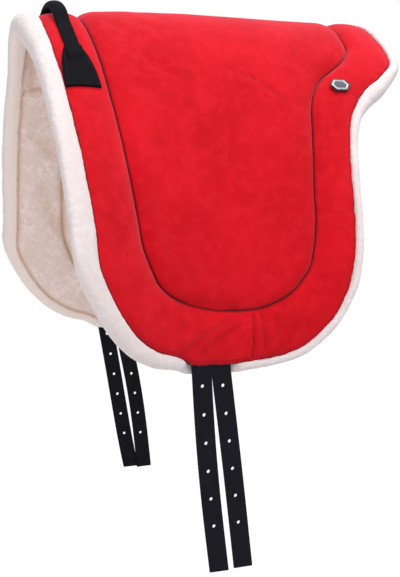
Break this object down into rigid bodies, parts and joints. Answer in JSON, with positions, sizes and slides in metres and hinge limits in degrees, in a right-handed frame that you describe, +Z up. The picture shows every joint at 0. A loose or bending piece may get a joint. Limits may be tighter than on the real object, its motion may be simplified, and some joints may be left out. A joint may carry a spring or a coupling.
{
  "type": "bareback pad",
  "caption": "Padded suede bareback riding pad draped over a horse's back, with rolled fleece edge, grab handle and punched webbing girth billets.",
  "frame": {"origin": "on the pad's underside at the spine, in the middle of the seat, where it rests on the top of the horse's back", "axes": "+Z up, -Y towards the horse's neck (the handle end), +X towards the horse's left side"},
  "size_m": [0.499, 0.5106, 0.7178],
  "materials": {
    "suede": "brushed suede nap, bright red",
    "foam": "closed-cell foam, hidden",
    "fleece": "short soft fleece, cream",
    "webbing": "fine ribbed webbing, black",
    "badge": "polished, bare",
    "red_thread": "sewing thread, dark red",
    "black_thread": "sewing thread, black"
  },
  "bodies": {
    "pad": {"seat_cover": "suede", "border_cover": "suede", "foam_core": "foam", "fleece_lining": "fleece", "fleece_edge_roll": "fleece", "girth_web_front": "webbing", "girth_web_rear": "webbing", "handle_patch_left": "webbing", "handle_patch_right": "webbing", "badge_plate": "badge", "quilting_thread": "red_thread", "hem_thread": "red_thread", "tab_stitching_left": "red_thread", "tab_stitching_right": "red_thread", "patch_stitching_left": "black_thread", "patch_stitching_right": "black_thread"},
    "grab_handle": {"handle_loop": "webbing"},
    "billet_left_front": {"billet_left_front": "webbing"},
    "billet_left_rear": {"billet_left_rear": "webbing"},
    "billet_right_front": {"billet_right_front": "webbing"},
    "billet_right_rear": {"billet_right_rear": "webbing"}
  },
  "joints": [
    {"name": "handle_tilt", "type": "hinge", "parent": "pad", "child": "grab_handle", "pos_m": [0, -0.21864, 0.01763], "axis": [1, 0, 0], "range_deg": [-20, 20], "stiffness_Nm_per_rad": 0.3},
    {"name": "billet_left_front_swing", "type": "hinge", "parent": "pad", "child": "billet_left_front", "pos_m": [0.20083, -0.1201, -0.41764], "axis": [0, -0.9994, -0.0349], "range_deg": [-20, 85]},
    {"name": "billet_left_rear_swing", "type": "hinge", "parent": "pad", "child": "billet_left_rear", "pos_m": [0.19932, -0.0944, -0.42122], "axis": [0, -0.9984, -0.0558], "range_deg": [-20, 85]},
    {"name": "billet_right_front_swing", "type": "hinge", "parent": "pad", "child": "billet_right_front", "pos_m": [-0.20085, -0.1201, -0.41808], "axis": [0, 0.9976, 0.0698], "range_deg": [-20, 85]},
    {"name": "billet_right_rear_swing", "type": "hinge", "parent": "pad", "child": "billet_right_rear", "pos_m": [-0.19933, -0.0944, -0.42174], "axis": [0, 0.9952, 0.0976], "range_deg": [-20, 85]}
  ]
}
